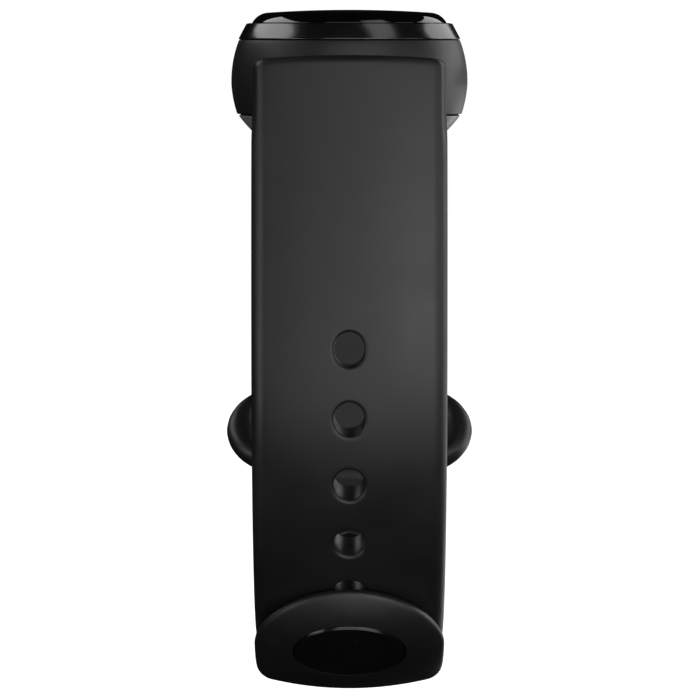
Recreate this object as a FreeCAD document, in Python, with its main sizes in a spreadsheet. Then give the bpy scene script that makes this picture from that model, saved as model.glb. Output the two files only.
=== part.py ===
import FreeCAD, Part
import math
import operator
import os
from types import SimpleNamespace

import Sketcher
from FreeCAD import Vector

# A fitness tracker: a pill-shaped capsule in a soft strap, closed on its wrist loop.
# The origin is the middle of the wrist opening. X runs across the strap, along the wrist;
# the arm with the holes is at -Y and the arm with the stud at +Y; +Z points out of the glass.
# Angles round the loop start at the front, pass the bottom at 90 and end at the back at 180.

# Driving dimensions, in millimetres and degrees.
DIMENSIONS = {
    # strap section
    "strap_width": 15.85,
    "strap_thickness": 2.45,
    "dome_radius": 29.0,
    "edge_round": 1.15,
    "inner_round": 0.3,
    # wrist loop
    "loop_radius": 28.2,
    "loop_height": 5.19,
    "layer_gap": 0.15,
    "rise_radius": 110.0,
    "rise_top": 23.76,
    "rise_split": 17.0,
    # row of holes
    "hole_width": 2.5,
    "hole_length": 2.85,
    "hole_pitch": 11.7,
    "hole_count": 12,
    # keeper loop
    "keeper_angle": 157.4,
    "keeper_radius": 28.0,
    "keeper_tilt": 24.0,
    "keeper_half_width": 11.2,
    "keeper_half_height": 6.6,
    "keeper_end_radius": 4.6,
    "keeper_thickness": 2.2,
    "keeper_bar": 2.9,
    "keeper_slot_half_width": 8.65,
    "keeper_slot_round": 2.4,
    "keeper_round": 0.6,
    "neck_length": 6.8,
    "crossing_radius": 10.0,
    # stud
    "stud_angle": 58.5,
    "hinge_angle": 80.0,
    "tip_reach": -0.6,
    "cap_radius": 4.65,
    "cap_thickness": 1.05,
    "cap_gap": 0.1,
    "cap_dome": 29.5,
    "pin_radius": 1.02,
    "pin_neck": 0.85,
    "pin_reach": 24.75,
    # cradle ring
    "cradle_top": 30.0,
    "cradle_height": 6.1,
    "ring_top_radius": 9.15,
    "ring_wide_radius": 9.78,
    "ring_wide_drop": 3.6,
    "ring_low_radius": 9.3,
    "ring_bulge": 9.5,
    "ring_fit": 0.1,
    # capsule outline
    "half_run": 14.24,
    "waist_radius": 8.0,
    "cavity_radius": 7.1,
    "seam_drop": 3.0,
    "seal_thickness": 0.15,
    "flange_radius": 9.2,
    "flange_drop": 6.2,
    "base_drop": 10.0,
    "base_radius": 4.35,
    "base_bulge": 11.5,
    "wall": 0.9,
    # top frame and glass, as heights above the cradle's top
    "frame_radius": 9.18,
    "frame_top_radius": 8.53,
    "frame_rim_radius": 8.28,
    "frame_lift": 0.05,
    "frame_edge": 0.15,
    "frame_top": 1.4,
    "gasket_thickness": 0.15,
    "gasket_inset": 0.05,
    "gasket_gap": 0.1,
    "glass_radius": 8.06,
    "glass_top_radius": 6.7,
    "glass_shoulder": 2.27,
    "glass_crest": 2.5,
    "glass_bulge": 1.6,
    # electronics
    "display_radius": 6.9,
    "display_thickness": 0.8,
    "carrier_thickness": 0.55,
    "carrier_gap": 0.05,
    "board_run": 13.2,
    "board_radius": 6.75,
    "board_drop": 1.9,
    "board_thickness": 0.8,
    "flex_half_width": 2.4,
    "flex_thickness": 0.1,
    "flex_foot": 2.0,
    "screw_place": 17.2,
    "screw_radius": 0.5,
    "screw_hole_radius": 0.6,
    "screw_head_radius": 1.1,
    "screw_head": 0.5,
    "screw_length": 1.6,
    "boss_radius": 1.3,
    "shield_x": 9.0,
    "shield_y": 8.5,
    "shield_height": 1.2,
    "shield_wall": 0.15,
    "radio_place": 2.0,
    "radio_side": 6.0,
    "radio_height": 0.8,
    "memory_place": 6.0,
    "memory_side_step": 1.0,
    "memory_x": 5.0,
    "memory_y": 4.0,
    "memory_height": 0.7,
    "motion_place_x": 3.4,
    "motion_place_y": 11.0,
    "motion_side": 2.0,
    "motion_height": 0.9,
    "capacitor_length": 1.0,
    "capacitor_width": 0.5,
    "capacitor_start_x": 4.5,
    "capacitor_start_y": 10.0,
    "capacitor_pitch_x": 1.8,
    "capacitor_pitch_y": 1.4,
    "capacitor_columns": 4,
    "antenna_length": 9.0,
    "antenna_width": 1.6,
    "antenna_height": 0.4,
    "antenna_place": 14.6,
    "battery_length": 22.5,
    "battery_width": 12.2,
    "battery_thickness": 4.0,
    "battery_drop": 7.35,
    "battery_corner": 1.2,
    "guard_length": 9.0,
    "guard_width": 2.0,
    "guard_height": 0.8,
    "sensor_drop": 8.2,
    "sensor_board_half_x": 5.2,
    "sensor_board_half_y": 13.0,
    "sensor_board_place": -2.5,
    "sensor_board_corner": 1.5,
    "sensor_board_thickness": 0.6,
    "lamp_length": 1.2,
    "lamp_width": 0.8,
    "lamp_height": 0.4,
    "lamp_place": 1.1,
    "detector_x": 1.6,
    "detector_y": 2.2,
    "detector_height": 0.45,
    "detector_place": 2.6,
    "baffle_radius": 4.0,
    "baffle_room_x": 2.0,
    "lamp_room_y": 5.0,
    "detector_room_y": 3.0,
    "lens_radius": 3.95,
    "lens_lip": 0.15,
    "lens_lip_thickness": 0.2,
    "contact_radius": 1.1,
    "contact_place": 13.5,
    "contact_offset": 2.6,
    "contact_seal": 0.4,
    "contact_seal_height": 0.4,
    "magnet_radius": 1.2,
    "magnet_height": 0.8,
    "magnet_place": 9.0,
    # vibration motor
    "motor_place": 15.6,
    "motor_drop": 5.3,
    "motor_radius": 2.0,
    "motor_length": 5.4,
    "motor_start": -5.2,
    "motor_floor": 1.0,
    "boot_thickness": 0.35,
    "shaft_radius": 0.35,
    "shaft_clearance": 0.05,
    "shaft_start": -4.0,
    "shaft_end": 4.3,
    "weight_radius": 1.75,
    "weight_length": 2.8,
    "weight_start": 1.2,
    "weight_sweep": 200.0,
}

OPERATIONS = {"+": operator.add, "-": operator.sub, "*": operator.mul, "/": operator.truediv}


class Size:
    """A number, together with the sheet expression that gives it."""

    def __init__(self, value, text):
        self.value = value
        self.text = text

    def __add__(self, other):
        return combine(self, "+", other)

    def __radd__(self, other):
        return combine(other, "+", self)

    def __sub__(self, other):
        return combine(self, "-", other)

    def __rsub__(self, other):
        return combine(other, "-", self)

    def __mul__(self, other):
        return combine(self, "*", other)

    def __rmul__(self, other):
        return combine(other, "*", self)

    def __truediv__(self, other):
        return combine(self, "/", other)

    def __neg__(self):
        return combine(0, "-", self)


def size(number):
    """A Size as it is, and a plain number as a Size."""
    return number if isinstance(number, Size) else Size(float(number), f"{number:.6g}")


def combine(left, sign, right):
    left = size(left)
    right = size(right)
    return Size(OPERATIONS[sign](left.value, right.value), f"({left.text} {sign} {right.text})")


def root(number):
    return Size(math.sqrt(number.value), f"sqrt({number.text})")


def sine(angle):
    return Size(math.sin(math.radians(angle.value)), f"sin({angle.text})")


def cosine(angle):
    return Size(math.cos(math.radians(angle.value)), f"cos({angle.text})")


def tangent(angle):
    return Size(math.tan(math.radians(angle.value)), f"tan({angle.text})")


def arc_sine(number):
    return Size(math.degrees(math.asin(number.value)), f"(asin({number.text}) / (1 deg))")


def arc_cosine(number):
    return Size(math.degrees(math.acos(number.value)), f"(acos({number.text}) / (1 deg))")


def arc_tangent(number):
    return Size(math.degrees(math.atan(number.value)), f"(atan({number.text}) / (1 deg))")


doc = FreeCAD.newDocument("FitnessTracker")
sheet = doc.addObject("Spreadsheet::Sheet", "Sizes")
for row, (alias, number) in enumerate(DIMENSIONS.items(), start=1):
    sheet.set(f"A{row}", alias)
    sheet.set(f"B{row}", str(number))
    sheet.setAlias(f"B{row}", alias)
doc.recompute()
sizes = {alias: Size(float(number), f"Sizes.{alias}") for alias, number in DIMENSIONS.items()}
S = SimpleNamespace(**sizes)

AXIS = size(0)
parts = {}


# Building blocks


def keep(label, item):
    """Name a finished sub-part."""
    item.Label = label
    parts[label] = item
    return item


def place(item, x=0, y=0, z=0, angle=0, axis="1; 0; 0"):
    """Bind a Placement: a shift, and a turn about an axis."""
    x, y, z, angle = (size(number).text for number in (x, y, z, angle))
    turned = f"rotation(vector({axis}); {angle})"
    item.setExpression("Placement", f"placement(vector({x}; {y}; {z}); {turned})")


def new_body(label, y=0, z=0, angle=0):
    body = doc.addObject("PartDesign::Body", label)
    place(body, y=y, z=z, angle=angle)
    return keep(label, body)


def new_sketch(body, plane, offset=0):
    """A sketch on one of the body's own origin planes, or offset along its normal."""
    sketch = body.newObject("Sketcher::SketchObject", "Sketch")
    support = next(item for item in body.Origin.OriginFeatures if item.Role == plane + "_Plane")
    sketch.AttachmentSupport = [(support, "")]
    sketch.MapMode = "FlatFace"
    sketch.setExpression("AttachmentOffset.Base.z", size(offset).text)
    return sketch


def constrain(sketch, kind, *what, to=None):
    """Add a constraint, bound to the sheet when it has a size."""
    if to is None:
        return sketch.addConstraint(Sketcher.Constraint(kind, *what))
    to = size(to)
    index = sketch.addConstraint(Sketcher.Constraint(kind, *what, to.value))
    sketch.setExpression(f"Constraints[{index}]", to.text)
    return index


def outline(sketch, corners, closed=True):
    """Lines and arcs through corners (x, y) or (x, y, radius of the edge that follows).
    An arc's centre is on the left of the way along when its radius is positive."""
    corners = [(size(corner[0]), size(corner[1]), *corner[2:]) for corner in corners]
    count = len(corners) if closed else len(corners) - 1
    ends = []
    for edge in range(count):
        this = corners[edge]
        following = corners[(edge + 1) % len(corners)]
        start = Vector(this[0].value, this[1].value, 0)
        stop = Vector(following[0].value, following[1].value, 0)
        if len(this) == 2:
            sketch.addGeometry(Part.LineSegment(start, stop), False)
            ends.append((1, 2))
            continue
        radius = size(this[2])
        chord = stop - start
        left = Vector(-chord.y, chord.x, 0).normalize()
        reach = math.sqrt(max(radius.value**2 - chord.Length**2 / 4, 0))
        centre = (start + stop) * 0.5 + left * math.copysign(reach, radius.value)
        angles = [math.atan2(point.y - centre.y, point.x - centre.x) for point in (start, stop)]
        circle = Part.Circle(centre, Vector(0, 0, 1), abs(radius.value))
        ends.append((1, 2) if radius.value > 0 else (2, 1))
        if radius.value < 0:
            angles.reverse()
        sketch.addGeometry(Part.ArcOfCircle(circle, *angles), False)
    for edge in range(count):
        following = (edge + 1) % count
        if closed or edge + 1 < count:
            constrain(sketch, "Coincident", edge, ends[edge][1], following, ends[following][0])
        x, y = corners[edge][:2]
        constrain(sketch, "DistanceX", -1, 1, edge, ends[edge][0], to=x)
        constrain(sketch, "DistanceY", -1, 1, edge, ends[edge][0], to=y)
    if not closed:
        x, y = corners[-1][:2]
        constrain(sketch, "DistanceX", -1, 1, count - 1, ends[-1][1], to=x)
        constrain(sketch, "DistanceY", -1, 1, count - 1, ends[-1][1], to=y)
    for edge in range(count):
        if len(corners[edge]) == 3:
            radius = size(corners[edge][2])
            constrain(sketch, "Radius", edge, to=radius if radius.value > 0 else -radius)


def pill(sketch, radius, half_run):
    """A pill outline along the sketch's second axis: two sides and two half-round ends."""
    radius = size(radius)
    half_run = size(half_run)
    reach = radius.value
    run = half_run.value
    up = Vector(0, 0, 1)
    sketch.addGeometry(Part.LineSegment(Vector(reach, -run, 0), Vector(reach, run, 0)), False)
    sketch.addGeometry(Part.ArcOfCircle(Part.Circle(Vector(0, run, 0), up, reach), 0, math.pi), False)
    sketch.addGeometry(Part.LineSegment(Vector(-reach, run, 0), Vector(-reach, -run, 0)), False)
    lower = Part.Circle(Vector(0, -run, 0), up, reach)
    sketch.addGeometry(Part.ArcOfCircle(lower, math.pi, 2 * math.pi), False)
    for edge in range(4):
        constrain(sketch, "Tangent", edge, 2, (edge + 1) % 4, 1)
    for edge, way in ((1, 1), (3, -1)):
        constrain(sketch, "PointOnObject", edge, 3, -2)
        constrain(sketch, "DistanceY", -1, 1, edge, 3, to=half_run * way)
    constrain(sketch, "Radius", 1, to=radius)


def rounded_box(sketch, half_x, half_y, radius, x=0, y=0):
    """A rectangle with rounded corners about the point x, y."""
    corners = []
    for side_x, side_y in ((1, -1), (1, 1), (-1, 1), (-1, -1)):
        long_way = (x + half_x * side_x - radius * side_x, y + half_y * side_y)
        short_way = (x + half_x * side_x, y + half_y * side_y - radius * side_y)
        first, last = (long_way, short_way) if side_x != side_y else (short_way, long_way)
        corners.append((*first, radius))
        corners.append(last)
    outline(sketch, corners)


def circle(sketch, radius, x=0, y=0):
    radius = size(radius)
    x = size(x)
    y = size(y)
    middle = Vector(x.value, y.value, 0)
    index = sketch.addGeometry(Part.Circle(middle, Vector(0, 0, 1), radius.value), False)
    constrain(sketch, "Radius", index, to=radius)
    constrain(sketch, "DistanceX", -1, 1, index, 3, to=x)
    constrain(sketch, "DistanceY", -1, 1, index, 3, to=y)


def extrude(body, sketch, length, cut=False, both_ways=False, reverse=False):
    kind = "PartDesign::Pocket" if cut else "PartDesign::Pad"
    feature = body.newObject(kind, "Extrusion")
    feature.Profile = sketch
    feature.setExpression("Length", size(length).text)
    feature.Midplane = both_ways
    feature.Reversed = reverse
    return feature


def revolve(body, sketch, axis, angle=360, cut=False, reverse=False):
    kind = "PartDesign::Groove" if cut else "PartDesign::Revolution"
    feature = body.newObject(kind, "Turning")
    feature.Profile = sketch
    feature.ReferenceAxis = (sketch, [axis])
    feature.setExpression("Angle", size(angle).text)
    feature.Reversed = reverse
    return feature


def fillet(body, base, edges, radius):
    feature = body.newObject("PartDesign::Fillet", "Rounding")
    feature.Base = (base, edges)
    feature.setExpression("Radius", size(radius).text)
    body.Tip = feature
    return feature


def pill_turned(body, profile, cut=False):
    """A shape with a pill plan: its half profile runs along the straight sides and turns round both ends.
    The profile's corners are (radius, height), and the first and the last are on the axis."""
    other_half = []
    for edge, (x, y, *_) in zip(profile[-2::-1], profile[:0:-1]):
        mirrored = AXIS if x is AXIS else -x
        other_half.append((mirrored, y, *edge[2:]))
    middle = new_sketch(body, "XZ")
    outline(middle, profile[:-1] + other_half)
    extrude(body, middle, S.half_run * 2, cut=cut, both_ways=True)
    for way in (1, -1):
        end = new_sketch(body, "XZ", S.half_run * way)
        outline(end, profile)
        feature = revolve(body, end, "V_Axis", cut=cut)
    return feature


def plate(label, radius, half_run, low, thickness):
    """A flat pill-shaped plate whose underside is at the height low."""
    body = new_body(label, z=S.cradle_top)
    sketch = new_sketch(body, "XY", low)
    pill(sketch, radius, half_run)
    extrude(body, sketch, thickness)
    return body


def pierce(body, radius, half_run, low, height):
    """Cut a pill-shaped opening upwards from the height low."""
    sketch = new_sketch(body, "XY", low)
    pill(sketch, radius, half_run)
    return extrude(body, sketch, height, cut=True, reverse=True)


def block(name, length_x, length_y, length_z, x, y, low):
    """A plain block centred on x, y, its underside at the height low over the cradle's top."""
    item = doc.addObject("Part::Box", name)
    item.setExpression("Length", size(length_x).text)
    item.setExpression("Width", size(length_y).text)
    item.setExpression("Height", size(length_z).text)
    place(item, size(x) - size(length_x) / 2, size(y) - size(length_y) / 2, S.cradle_top + low)
    return item


def upright(name, radius, length, x, y, low):
    """A cylinder that stands at x, y, its foot at the height low over the cradle's top."""
    item = doc.addObject("Part::Cylinder", name)
    item.setExpression("Radius", size(radius).text)
    item.setExpression("Height", size(length).text)
    place(item, x, y, S.cradle_top + low)
    return item


def lying(name, radius, length, start, sweep=360):
    """A cylinder on the motor's axis, which runs along X, from the place start."""
    item = doc.addObject("Part::Cylinder", name)
    item.setExpression("Radius", size(radius).text)
    item.setExpression("Height", size(length).text)
    item.setExpression("Angle", size(sweep).text)
    place(item, start, S.motor_place, S.cradle_top - S.motor_drop, 90, "0; 1; 0")
    return item


def cut(name, base, tool):
    item = doc.addObject("Part::Cut", name)
    item.Base = base
    item.Tool = tool
    return item


def fuse(name, items):
    item = doc.addObject("Part::MultiFuse", name)
    item.Shapes = items
    return item


def group(name, items):
    """Separate solids that share one sub-part."""
    item = doc.addObject("Part::Compound", name)
    item.Links = items
    return item


def tube(name, outer, inner, length, x, y, low):
    shell = upright(name + "_outer", outer, length, x, y, low)
    bore = upright(name + "_bore", inner, length, x, y, low)
    return cut(name, shell, bore)


# Strap


def strap_section(sketch, crest, side):
    """The strap's section: flat inner face, domed outer face and rounded edges.
    crest is how far the outer face is from the loop's axis; side is -1 at the front, 1 at the back."""
    half = S.strap_width / 2
    floor = crest - S.strap_thickness
    dome_centre = crest - S.dome_radius
    round_x = half - S.edge_round
    inset = S.dome_radius - S.edge_round
    round_y = dome_centre + root(inset * inset - round_x * round_x)
    stretch = S.dome_radius / inset
    shoulder_x = round_x * stretch
    shoulder_y = dome_centre + (round_y - dome_centre) * stretch
    right = [
        (half - S.inner_round, floor, S.inner_round),
        (half, floor + S.inner_round),
        (half, round_y, S.edge_round),
        (shoulder_x, shoulder_y, S.dome_radius),
    ]
    left = [
        (-shoulder_x, shoulder_y, S.edge_round),
        (-half, round_y),
        (-half, floor + S.inner_round, S.inner_round),
        (S.inner_round - half, floor),
    ]
    corners = right + left
    if side < 0:
        corners = [(-corner[0], -corner[1], *corner[2:]) for corner in corners]
    outline(sketch, corners)


def rise_axis(sketch, side):
    """The axis that an arm's gentle rise turns about, across the far side of the loop."""
    place_y = (S.loop_radius - S.rise_radius) * side
    line = Part.LineSegment(Vector(-5, place_y.value, 0), Vector(5, place_y.value, 0))
    index = sketch.addGeometry(line, True)
    constrain(sketch, "Horizontal", index)
    constrain(sketch, "DistanceX", -1, 1, index, 1, to=-5)
    constrain(sketch, "DistanceX", -1, 1, index, 2, to=5)
    constrain(sketch, "DistanceY", -1, 1, index, 1, to=place_y)


rise_split_angle = arc_sine(S.rise_split / S.rise_radius)
rise_top_angle = arc_sine(S.rise_top / S.rise_radius)


def rise(body, side, angle):
    """An arm's rise from the middle of the loop towards the cradle."""
    sketch = new_sketch(body, "XY")
    strap_section(sketch, S.loop_radius, side)
    rise_axis(sketch, side)
    return revolve(body, sketch, "Axis0", angle, reverse=side < 0)


def strap_cradle():
    """The ring that holds the capsule, with the roots of both arms."""
    body = new_body("strap_cradle", z=S.loop_height)
    top = S.cradle_top - S.loop_height
    low = top - S.cradle_height
    ring = [
        (AXIS, low),
        (S.ring_low_radius, low, S.ring_bulge),
        (S.ring_wide_radius, top - S.ring_wide_drop, S.ring_bulge),
        (S.ring_top_radius, top),
        (AXIS, top),
    ]
    pill_turned(body, ring)
    for side in (1, -1):
        rise(body, side, rise_top_angle)
    # the lower stretches of both arms are sub-parts of their own
    middle_y = S.loop_radius - S.rise_radius
    edge_y = middle_y + S.rise_radius * cosine(rise_split_angle)
    for side in (1, -1):
        below = new_sketch(body, "YZ")
        far = (edge_y - middle_y) * 1.2
        depth = S.rise_split * 1.2
        corners = [(middle_y * side, AXIS), (edge_y * side * 1.2, AXIS), ((middle_y + far) * side, depth)]
        outline(below, corners if side > 0 else corners[::-1])
        extrude(body, below, S.strap_width * 2, cut=True, both_ways=True)
    # webs that join the round ends of the ring to the flat arms
    web_top = S.rise_top - S.inner_round
    mid_skin = S.rise_radius - S.strap_thickness / 2
    for side in (1, -1):
        web = new_sketch(body, "YZ")
        inner_y = (S.half_run + S.strap_width * 0.3) * side
        low_y = (middle_y + root(mid_skin * mid_skin - low * low)) * side
        high_y = (middle_y + root(mid_skin * mid_skin - web_top * web_top)) * side
        corners = [(inner_y, low), (low_y, low), (high_y, web_top), (inner_y, web_top)]
        outline(web, corners if side > 0 else corners[::-1])
        extrude(body, web, S.strap_width - S.edge_round, both_ways=True)
    pierce(body, S.waist_radius + S.ring_fit, S.half_run, low - 1, S.cradle_height + 2)


# how far round the loop the keeper loop's neck reaches
neck_drop = arc_tangent(S.neck_length * cosine(S.keeper_tilt)
                        / (S.keeper_radius - S.neck_length * sine(S.keeper_tilt)))


def strap_holes_arm():
    """The front arm, with its row of holes, round to the neck of the keeper loop."""
    body = new_body("strap_holes_arm", z=S.loop_height)
    rise(body, -1, rise_split_angle)
    section = new_sketch(body, "XY")
    strap_section(section, S.loop_radius, -1)
    revolve(body, section, "H_Axis", S.keeper_angle - neck_drop)
    hole = new_sketch(body, "XZ")
    pill(hole, S.hole_width / 2, (S.hole_length - S.hole_width) / 2)
    first = extrude(body, hole, S.loop_radius + S.strap_thickness, cut=True, reverse=True)
    doc.recompute()
    pattern = body.newObject("PartDesign::PolarPattern", "HoleRow")
    pattern.Originals = [first]
    axis = next(item for item in body.Origin.OriginFeatures if item.Role == "X_Axis")
    pattern.Axis = (axis, [""])
    pattern.setExpression("Angle", (S.hole_pitch * (S.hole_count - 1)).text)
    pattern.setExpression("Occurrences", S.hole_count.text)
    body.Tip = pattern


def strap_keeper_loop():
    """The oval loop at the end of the front arm, which keeps the other arm in."""
    turn = S.keeper_angle
    height = S.loop_height - S.keeper_radius * sine(turn)
    body = new_body("strap_keeper_loop", -S.keeper_radius * cosine(turn), height, turn - S.keeper_tilt)
    # the oval has small arcs at its ends and wide arcs along its bars
    end_x = S.keeper_half_width - S.keeper_end_radius
    rest = S.keeper_half_height * S.keeper_half_height - S.keeper_end_radius * S.keeper_end_radius
    wide = (end_x * end_x + rest) / ((S.keeper_half_height - S.keeper_end_radius) * 2)
    stretch = wide / (wide - S.keeper_end_radius)
    join_x = end_x * stretch
    join_y = S.keeper_half_height - wide + (wide - S.keeper_half_height) * stretch
    oval = new_sketch(body, "XZ")
    outline(oval, [
        (join_x, -join_y, S.keeper_end_radius),
        (join_x, join_y, wide),
        (-join_x, join_y, S.keeper_end_radius),
        (-join_x, -join_y, wide),
    ])
    extrude(body, oval, S.keeper_thickness, both_ways=True)
    slot = new_sketch(body, "XZ")
    slot_half_height = S.keeper_half_height - S.keeper_bar
    rounded_box(slot, S.keeper_slot_half_width, slot_half_height, S.keeper_slot_round)
    ring = extrude(body, slot, S.keeper_thickness * 2, cut=True, both_ways=True)
    doc.recompute()
    edges = [
        f"Edge{index}"
        for index, edge in enumerate(ring.Shape.Edges, start=1)
        if abs(edge.BoundBox.YLength) < S.keeper_round.value
    ]
    fillet(body, ring, edges, S.keeper_round)
    # the neck ends flat against the end of the arm, whose plane goes through the loop's axis
    neck = new_sketch(body, "YZ")
    skin = S.keeper_thickness / 2
    start = S.keeper_half_height - S.keeper_bar / 2
    lean = skin * tangent(S.keeper_tilt - neck_drop)
    outline(neck, [
        (-skin, start),
        (skin, start),
        (skin, S.neck_length + lean),
        (-skin, S.neck_length - lean),
    ])
    extrude(body, neck, S.strap_width, both_ways=True)


def strap_stud_arm():
    """The back arm: it slips inside the keeper loop's end bar, comes out through the slot over the
    other arm, and ends at the living hinge of the tip."""
    body = new_body("strap_stud_arm", z=S.loop_height)
    rise(body, 1, rise_split_angle)
    inner = S.loop_radius - S.strap_thickness / 2
    outer = inner + S.layer_gap + S.strap_thickness
    bend = S.crossing_radius
    leave = S.keeper_angle + arc_cosine(inner / S.keeper_radius)
    run = root(outer * outer - inner * inner - bend * (outer - inner) * 2)
    meet = leave - arc_tangent(run / (inner - bend))
    leave_y = -inner * cosine(leave)
    leave_z = -inner * sine(leave)
    corners = [
        (inner, AXIS, -inner),
        (leave_y, leave_z),
        (leave_y - run * sine(leave), leave_z + run * cosine(leave), -bend),
        (-outer * cosine(meet), -outer * sine(meet), -outer),
        (-outer * cosine(S.hinge_angle), -outer * sine(S.hinge_angle)),
    ]
    course = new_sketch(body, "YZ")
    outline(course, corners, closed=False)
    section = new_sketch(body, "XY")
    strap_section(section, S.loop_radius, 1)
    sweep = body.newObject("PartDesign::AdditivePipe", "Course")
    sweep.Profile = section
    sweep.Spine = (course, [f"Edge{index}" for index in range(1, len(corners))])
    body.Tip = sweep


def stud_frame(label):
    """A body whose -Y axis points out through the middle of the stud's cap."""
    return new_body(label, z=S.loop_height, angle=S.stud_angle)


outer_crest = S.loop_radius + S.layer_gap + S.strap_thickness
cap_floor = outer_crest - S.cap_thickness


def strap_stud_tip():
    """The tip of the back arm, trimmed half round at its end, with a seat for the stud's cap."""
    body = stud_frame("strap_stud_tip")
    section = new_sketch(body, "XY")
    strap_section(section, outer_crest, -1)
    towards_hinge = revolve(body, section, "H_Axis", S.hinge_angle - S.stud_angle)
    towards_hinge.Type = "TwoAngles"
    towards_hinge.setExpression("Angle2", (S.stud_angle / 2).text)
    half = S.strap_width / 2
    wide = half * 2
    end = new_sketch(body, "XZ")
    outline(end, [
        (half, S.tip_reach),
        (wide, S.tip_reach),
        (wide, wide * 2),
        (-wide, wide * 2),
        (-wide, S.tip_reach),
        (-half, S.tip_reach, -half),
        (AXIS, S.tip_reach + half, -half),
    ])
    extrude(body, end, outer_crest * 2, cut=True, both_ways=True)
    seat = new_sketch(body, "XZ", cap_floor)
    circle(seat, S.cap_radius + S.cap_gap)
    extrude(body, seat, S.cap_thickness * 2, cut=True, reverse=True)
    bore = new_sketch(body, "XZ")
    circle(bore, S.pin_radius)
    extrude(body, bore, outer_crest * 2, cut=True, both_ways=True)


def stud():
    """The glossy cap, and the pin that goes through a hole of the front arm."""
    cap = stud_frame("stud_cap")
    profile = new_sketch(cap, "XY")
    drop = S.cap_dome - root(S.cap_dome * S.cap_dome - S.cap_radius * S.cap_radius)
    outline(profile, [
        (AXIS, -cap_floor),
        (AXIS, -outer_crest, S.cap_dome),
        (S.cap_radius, drop - outer_crest),
        (S.cap_radius, -cap_floor),
    ])
    revolve(cap, profile, "V_Axis")
    pin = stud_frame("stud_pin")
    profile = new_sketch(pin, "XY")
    head = S.pin_reach + S.pin_radius * 0.3
    shoulder = head + S.pin_radius * 0.4
    slope = S.pin_radius - S.pin_neck
    outline(profile, [
        (AXIS, -cap_floor),
        (S.pin_radius, -cap_floor),
        (S.pin_radius, -S.loop_radius - S.layer_gap - slope),
        (S.pin_neck, -S.loop_radius - S.layer_gap),
        (S.pin_neck, -shoulder - slope),
        (S.pin_radius, -shoulder),
        (S.pin_radius, -head),
        (S.pin_radius * 0.7, -S.pin_reach),
        (AXIS, -S.pin_reach),
    ])
    revolve(pin, profile, "V_Axis")


# Capsule casing


def cover_glass():
    """The black cover glass, with a gently crowned top and a rounded edge."""
    body = new_body("cover_glass", z=S.cradle_top)
    crown = S.glass_crest - S.glass_shoulder
    crown_radius = (S.glass_top_radius * S.glass_top_radius + crown * crown) / (crown * 2)
    pill_turned(body, [
        (AXIS, S.frame_top),
        (S.glass_radius, S.frame_top, S.glass_bulge),
        (S.glass_top_radius, S.glass_shoulder, crown_radius),
        (AXIS, S.glass_crest),
    ])


def top_frame():
    """The glossy frame under the glass; its overhang rests on the cradle's ring."""
    body = new_body("top_frame", z=S.cradle_top)
    low = S.seal_thickness - S.seam_drop
    pill_turned(body, [
        (AXIS, low),
        (S.waist_radius, low),
        (S.waist_radius, S.frame_lift),
        (S.frame_radius, S.frame_lift),
        (S.frame_radius, S.frame_edge),
        (S.frame_top_radius, S.frame_top - S.frame_lift),
        (S.frame_rim_radius, S.frame_top),
        (AXIS, S.frame_top),
    ])
    pierce(body, S.cavity_radius, S.half_run, low - 1, S.seam_drop * 2)
    ledge = S.frame_top - S.gasket_thickness
    pierce(body, S.glass_radius, S.half_run, ledge, 1)


def bottom_shell():
    """The satin lower shell: a waist inside the ring, a flange below it and a flat base."""
    body = new_body("bottom_shell", z=S.cradle_top)
    pill_turned(body, [
        (AXIS, -S.base_drop),
        (S.base_radius, -S.base_drop, S.base_bulge),
        (S.flange_radius, -S.flange_drop),
        (S.waist_radius, -S.flange_drop),
        (S.waist_radius, -S.seam_drop),
        (AXIS, -S.seam_drop),
    ])
    floor = S.wall - S.base_drop
    widen = S.flange_drop + S.wall
    pill_turned(body, [
        (AXIS, floor),
        (S.base_radius - S.wall * 0.2, floor, S.base_bulge - S.wall),
        (S.cavity_radius + S.wall * 0.5, -widen),
        (S.cavity_radius, S.wall * 0.5 - widen),
        (S.cavity_radius, 1 - S.seam_drop),
        (AXIS, 1 - S.seam_drop),
    ], cut=True)
    window = new_sketch(body, "XY", -S.base_drop - 1)
    circle(window, S.lens_radius)
    for side in (1, -1):
        circle(window, S.contact_radius, S.contact_offset * side, -S.contact_place)
    extrude(body, window, S.wall + 2, cut=True, reverse=True)


def seals():
    """The tape under the glass's edge, and the seal in the seam of the casing."""
    gasket = plate("glass_gasket", S.glass_radius - S.gasket_inset, S.half_run,
                   S.frame_top - S.gasket_thickness, S.gasket_thickness)
    pierce(gasket, S.cavity_radius + S.gasket_gap, S.half_run, S.frame_top - 1, 2)
    seal = plate("shell_seal", S.waist_radius, S.half_run, -S.seam_drop, S.seal_thickness)
    pierce(seal, S.cavity_radius, S.half_run, -S.seam_drop - 1, 2)


# Display and boards

display_top = S.frame_top - S.gasket_thickness
display_low = display_top - S.display_thickness
carrier_low = display_low - S.carrier_thickness - S.carrier_gap
board_top = S.board_thickness - S.board_drop


def display():
    plate("optical_adhesive", S.display_radius, S.half_run, display_top, S.gasket_thickness)
    plate("display_panel", S.display_radius, S.half_run, display_low, S.display_thickness)
    body = new_body("display_flex", z=S.cradle_top)
    ribbon = new_sketch(body, "YZ")
    reach = root(S.display_radius * S.display_radius - S.flex_half_width * S.flex_half_width)
    end = S.half_run + reach
    skin = S.flex_thickness
    outline(ribbon, [
        (end, display_low),
        (end + skin, display_low),
        (end + skin, board_top),
        (end - S.flex_foot, board_top),
        (end - S.flex_foot, board_top + skin),
        (end, board_top + skin),
    ])
    extrude(body, ribbon, S.flex_half_width * 2, both_ways=True)


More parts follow.
